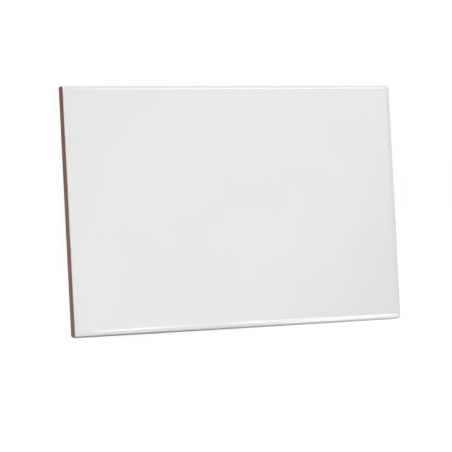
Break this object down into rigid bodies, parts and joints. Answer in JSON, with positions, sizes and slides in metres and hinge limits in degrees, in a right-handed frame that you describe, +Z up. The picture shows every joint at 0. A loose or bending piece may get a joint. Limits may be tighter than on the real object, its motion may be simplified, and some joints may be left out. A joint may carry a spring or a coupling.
{
  "type": "ceramic wall tile",
  "caption": "Rectangular glazed ceramic wall tile with a cushion edge, square clay sides and a ribbed keying back, for bedding in adhesive on a wall.",
  "frame": {"origin": "middle of the back, on the plane of the rib tops that the tile lies on", "axes": "+X along the length, +Y along the width, +Z up out of the glazed face"},
  "size_m": [0.33, 0.2, 0.0072],
  "materials": {
    "glaze": "white gloss glaze on a red-brown fired clay body"
  },
  "bodies": {
    "root": {"tile": "glaze"}
  },
  "joints": []
}
